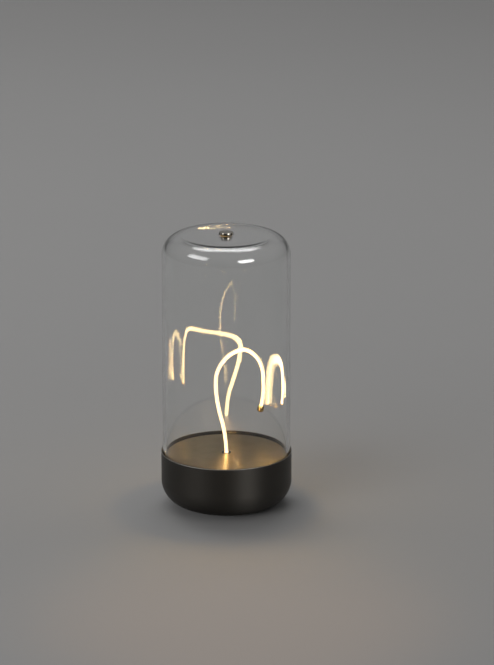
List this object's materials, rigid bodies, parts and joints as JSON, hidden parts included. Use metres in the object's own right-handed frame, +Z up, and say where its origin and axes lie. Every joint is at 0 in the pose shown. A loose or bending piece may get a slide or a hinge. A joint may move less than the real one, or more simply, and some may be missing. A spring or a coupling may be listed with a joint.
{
  "type": "usb table lamp",
  "caption": "Clear glass jar on a round black metal base, lit by a hook-shaped filament; the glass lifts off, and the rear has a push button and a charging socket.",
  "frame": {"origin": "middle of the lamp's footprint, on the table", "axes": "+Z up; the front of the picture faces -Y; the charging socket is at the rear, on +Y"},
  "size_m": [0.1, 0.1, 0.2159],
  "materials": {
    "black_coat": "satin black powder coat",
    "gloss_black": "glossy black lacquer",
    "dark_rubber": "matte black",
    "frame_plastic": "moulded dark grey",
    "cover_coat": "satin black",
    "screw_steel": "zinc plated",
    "amber_sleeve": "clear amber silicone",
    "glowing_core": "glowing warm white",
    "nickel_wire": "nickel plated",
    "dark_brass": "polished dark brass",
    "ferrule_black": "satin black",
    "red_wire": "insulated wire",
    "board_green": "coated board",
    "chip_black": "moulded black",
    "socket_steel": "plain nickel",
    "cell_wrap": "shrink wrap",
    "black_wire": "insulated wire",
    "clear_glass": "clear polished",
    "fixing_metal": "polished dark nickel",
    "amber_seal": "clear amber silicone",
    "button_black": "satin black",
    "plunger_white": "moulded white"
  },
  "bodies": {
    "base": {"base_cup": "black_coat", "deck_plate": "gloss_black", "glass_gasket": "dark_rubber", "inner_frame": "frame_plastic", "bottom_cover": "cover_coat", "cover_screws": "screw_steel", "foot_ring": "dark_rubber", "deck_screws": "screw_steel", "filament_sleeve": "amber_sleeve", "light_core": "glowing_core", "shape_wire": "nickel_wire", "tip_cap": "dark_brass", "stem_ferrule": "ferrule_black", "ferrule_nut": "screw_steel", "filament_leads": "red_wire", "control_board": "board_green", "board_parts": "chip_black", "board_screws": "screw_steel", "usb_shell": "socket_steel", "usb_tongue": "chip_black", "switch_body": "chip_black", "battery_cell": "cell_wrap", "battery_contacts": "nickel_wire", "battery_leads": "black_wire"},
    "glass": {"glass_jar": "clear_glass", "top_cap": "fixing_metal", "cap_stud": "fixing_metal", "cap_seal": "amber_seal", "nut_seal": "amber_seal", "cap_nut": "fixing_metal"},
    "button": {"power_button": "button_black", "switch_plunger": "plunger_white"}
  },
  "joints": [
    {"name": "glass_lift", "type": "slide", "parent": "base", "child": "glass", "axis": [0, 0, 1], "range_m": [0, 0.12]},
    {"name": "power_press", "type": "slide", "parent": "base", "child": "button", "axis": [-0.4695, -0.8829, 0], "range_m": [0, 0.0008], "stiffness_N_per_m": 1500}
  ]
}
